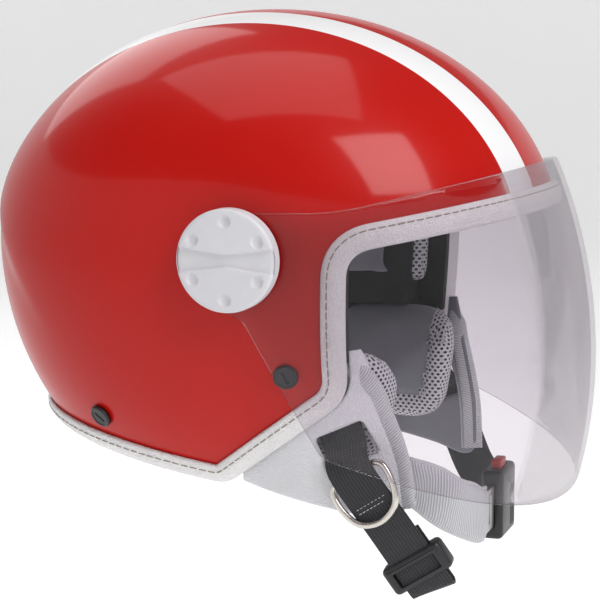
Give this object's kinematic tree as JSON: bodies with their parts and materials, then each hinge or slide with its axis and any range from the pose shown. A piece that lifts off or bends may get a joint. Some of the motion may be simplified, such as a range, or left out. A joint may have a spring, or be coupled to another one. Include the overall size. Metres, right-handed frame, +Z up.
{
  "type": "open face motorcycle helmet",
  "caption": "Open face motorcycle helmet: rounded gloss shell with piped edge, clear visor on two side knobs, padded inside with soft cheek skirts, and a webbing chin strap with buckle.",
  "frame": {"origin": "midway between the two visor pivots, on the line that the visor turns about, which is the middle of the head cavity", "axes": "+Z up; the wearer faces -Y; the wearer's left side is +X"},
  "size_m": [0.2536, 0.2909, 0.2624],
  "materials": {
    "red_paint": "glossy lacquer over moulded plastic",
    "white_leather": "satin leather grain",
    "white_plastic": "satin",
    "clear_plastic": "clear polycarbonate, polished",
    "black_foam": "moulded expanded foam, matt",
    "grey_fabric": "brushed knit",
    "grey_mesh": "open mesh knit",
    "pale_fabric": "ribbed knit",
    "black_webbing": "woven webbing",
    "black_plastic": "satin",
    "red_plastic": "satin",
    "steel": "nickel plated"
  },
  "bodies": {
    "helmet": {"brow_pad": "grey_mesh", "buckle_body": "black_plastic", "buckle_tongue": "steel", "cheek_pad_left": "grey_mesh", "cheek_pad_right": "grey_mesh", "chin_pad": "pale_fabric", "crown_liner": "grey_fabric", "edge_trim": "white_leather", "eps_liner": "black_foam", "friction_washer_left": "black_plastic", "friction_washer_right": "black_plastic", "neck_roll": "grey_mesh", "outer_shell": "red_paint", "pivot_nut_left": "steel", "pivot_nut_right": "steel", "rear_rivet_left": "black_plastic", "rear_rivet_right": "black_plastic", "rear_rivet_washer_left": "steel", "rear_rivet_washer_right": "steel", "side_skirt_left": "white_leather", "side_skirt_right": "white_leather", "strap_left": "black_webbing", "strap_right": "black_webbing", "strap_rivet_left": "black_plastic", "strap_rivet_right": "black_plastic", "strap_rivet_washer_left": "steel", "strap_rivet_washer_right": "steel", "temple_pad_left": "grey_mesh", "temple_pad_right": "grey_mesh"},
    "visor": {"visor": "clear_plastic"},
    "knob_left": {"knob_left": "white_plastic", "pivot_screw_left": "steel"},
    "knob_right": {"knob_right": "white_plastic", "pivot_screw_right": "steel"},
    "d_ring": {"d_ring": "steel"},
    "slider": {"strap_slider": "black_plastic"},
    "release": {"release_button": "red_plastic"}
  },
  "joints": [
    {"name": "visor_tilt", "type": "hinge", "parent": "helmet", "child": "visor", "pos_m": [0, 0, 0], "axis": [-1, 0, 0], "range_deg": [0, 70]},
    {"name": "knob_left_turn", "type": "hinge", "parent": "helmet", "child": "knob_left", "pos_m": [0, 0, 0], "axis": [1, 0, 0], "range_deg": [0, 180]},
    {"name": "knob_right_turn", "type": "hinge", "parent": "helmet", "child": "knob_right", "pos_m": [0, 0, 0], "axis": [-1, 0, 0], "range_deg": [0, 180]},
    {"name": "d_ring_swing", "type": "hinge", "parent": "helmet", "child": "d_ring", "pos_m": [-0.08759, -0.04696, -0.09808], "axis": [0.027, 0.8368, -0.5469], "range_deg": [0, 35]},
    {"name": "slider_slide", "type": "slide", "parent": "helmet", "child": "slider", "axis": [-0.1646, 0.5435, 0.8231], "range_m": [0, 0.008]},
    {"name": "release_button_push", "type": "slide", "parent": "helmet", "child": "release", "axis": [0, 0, -1], "range_m": [0, 0.002], "stiffness_N_per_m": 400}
  ]
}
